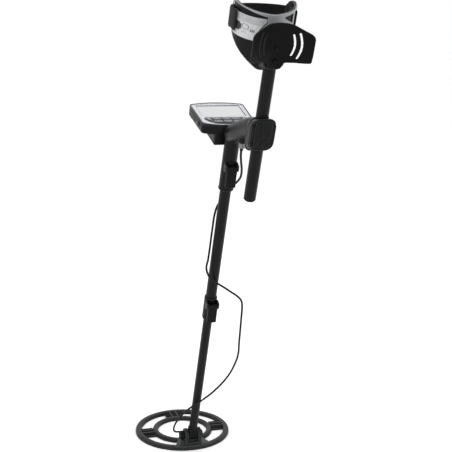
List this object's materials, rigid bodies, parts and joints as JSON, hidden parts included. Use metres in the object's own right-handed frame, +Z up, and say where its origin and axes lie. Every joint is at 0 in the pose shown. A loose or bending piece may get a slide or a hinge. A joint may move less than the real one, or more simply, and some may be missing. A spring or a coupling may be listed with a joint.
{
  "type": "metal detector",
  "caption": "Hand-held metal detector with a ring search coil on a telescopic shaft, a display box, a hand grip, an arm cuff with a strap and a loose coil cable.",
  "frame": {"origin": "middle of the hand grip, where the hand holds it", "axes": "+X to the user's right, +Y forward from the user towards the coil, +Z up; the shaft leans 20.4 degrees back towards the user"},
  "size_m": [0.215, 0.7064, 0.9612],
  "materials": {
    "tube": "black anodised, satin",
    "housing": "fine moulded grain",
    "box": "fine moulded grain",
    "bezel": "silver grey, satin",
    "coil": "fine moulded grain",
    "lock": "matt",
    "trim": "smooth",
    "glass": "clear over a grey display",
    "key": "matt",
    "rubber": "matt",
    "cable": "smooth jacket",
    "steel": "plain",
    "winding": "enamelled copper wire",
    "board": "solder mask",
    "cell": "printed wrapper",
    "foam": "knitted face over foam",
    "webbing": "woven nylon"
  },
  "bodies": {
    "handle": {"handle_frame": "housing", "box_lower": "box", "box_bezel": "bezel", "display_window": "glass", "display_module": "trim", "key_mat": "rubber", "main_board": "board", "speaker": "steel", "battery_1": "cell", "battery_2": "cell", "headphone_jack": "steel", "cable_socket": "steel", "cable_plug": "lock", "clamp_cover": "housing", "clamp_screw_1": "steel", "clamp_screw_2": "steel", "clamp_screw_3": "steel", "clamp_screw_4": "steel", "clamp_seal": "rubber", "upper_lock_pin": "steel", "cable_upper": "cable"},
    "upper_lever": {"upper_lock_lever": "lock"},
    "middle": {"middle_tube": "tube", "lower_lock_collar": "lock", "lower_lock_pin": "steel", "cable_loop": "cable"},
    "lower_lever": {"lower_lock_lever": "lock"},
    "lower": {"lower_tube": "housing", "tilt_yoke": "housing", "cable_tail": "cable"},
    "coil": {"coil_shell": "coil", "coil_skid": "coil", "transmit_winding": "winding", "receive_winding": "winding", "cable_gland": "lock", "tilt_bolt": "lock", "washer_left": "rubber", "washer_right": "rubber"},
    "knob": {"tilt_knob": "lock"},
    "arm": {"arm_tube": "tube", "tube_cap": "rubber", "stand_plate": "housing", "stand_screw_1": "steel", "stand_screw_2": "steel", "cuff_shell": "housing", "cuff_trim": "trim", "cuff_label": "bezel", "cuff_liner": "foam", "cuff_strap": "webbing"},
    "door": {"battery_door": "box"},
    "ring": {"plug_ring": "steel"},
    "button_left": {"key_left": "key"},
    "button_right": {"key_right": "key"},
    "button_1": {"key_1": "key"},
    "button_2": {"key_2": "key"},
    "button_3": {"key_3": "key"},
    "button_4": {"key_4": "key"},
    "button_5": {"key_5": "key"},
    "button_6": {"key_6": "key"}
  },
  "joints": [
    {"name": "middle_slide", "type": "slide", "parent": "handle", "child": "middle", "axis": [0, -0.3486, 0.9373], "range_m": [-0.05, 0], "deforming": ["cable_upper"]},
    {"name": "upper_lock", "type": "hinge", "parent": "handle", "child": "upper_lever", "pos_m": [0, 0.07644, -0.0836], "axis": [-1, 0, 0], "range_deg": [0, 80]},
    {"name": "lower_slide", "type": "slide", "parent": "middle", "child": "lower", "axis": [0, -0.3486, 0.9373], "range_m": [-0.06, 0.24], "deforming": ["cable_loop"]},
    {"name": "lower_lock", "type": "hinge", "parent": "middle", "child": "lower_lever", "pos_m": [0, 0.18708, -0.37853], "axis": [-1, 0, 0], "range_deg": [0, 80]},
    {"name": "coil_tilt", "type": "hinge", "parent": "lower", "child": "coil", "pos_m": [0, 0.33244, -0.71603], "axis": [1, 0, 0], "range_deg": [-60, 100], "deforming": ["cable_tail"]},
    {"name": "knob_turn", "type": "hinge", "parent": "coil", "child": "knob", "pos_m": [0, 0.33244, -0.71603], "axis": [1, 0, 0], "continuous": true},
    {"name": "arm_slide", "type": "slide", "parent": "handle", "child": "arm", "axis": [0, -0.3486, 0.9373], "range_m": [-0.065, 0.085]},
    {"name": "door_hinge", "type": "hinge", "parent": "handle", "child": "door", "pos_m": [0, 0.15729, -0.02049], "axis": [-1, 0, 0], "range_deg": [0, 95]},
    {"name": "ring_turn", "type": "hinge", "parent": "handle", "child": "ring", "pos_m": [0, 0.02122, -0.03409], "axis": [0, -0.3486, 0.9373], "continuous": true},
    {"name": "press_left", "type": "slide", "parent": "handle", "child": "button_left", "axis": [0, 0.304, -0.9527], "range_m": [0, 0.001], "stiffness_N_per_m": 400},
    {"name": "press_right", "type": "slide", "parent": "handle", "child": "button_right", "axis": [0, 0.304, -0.9527], "range_m": [0, 0.001], "stiffness_N_per_m": 400},
    {"name": "press_1", "type": "slide", "parent": "handle", "child": "button_1", "axis": [0, 0.304, -0.9527], "range_m": [0, 0.001], "stiffness_N_per_m": 400},
    {"name": "press_2", "type": "slide", "parent": "handle", "child": "button_2", "axis": [0, 0.304, -0.9527], "range_m": [0, 0.001], "stiffness_N_per_m": 400},
    {"name": "press_3", "type": "slide", "parent": "handle", "child": "button_3", "axis": [0, 0.304, -0.9527], "range_m": [0, 0.001], "stiffness_N_per_m": 400},
    {"name": "press_4", "type": "slide", "parent": "handle", "child": "button_4", "axis": [0, 0.304, -0.9527], "range_m": [0, 0.001], "stiffness_N_per_m": 400},
    {"name": "press_5", "type": "slide", "parent": "handle", "child": "button_5", "axis": [0, 0.304, -0.9527], "range_m": [0, 0.001], "stiffness_N_per_m": 400},
    {"name": "press_6", "type": "slide", "parent": "handle", "child": "button_6", "axis": [0, 0.304, -0.9527], "range_m": [0, 0.001], "stiffness_N_per_m": 400}
  ]
}
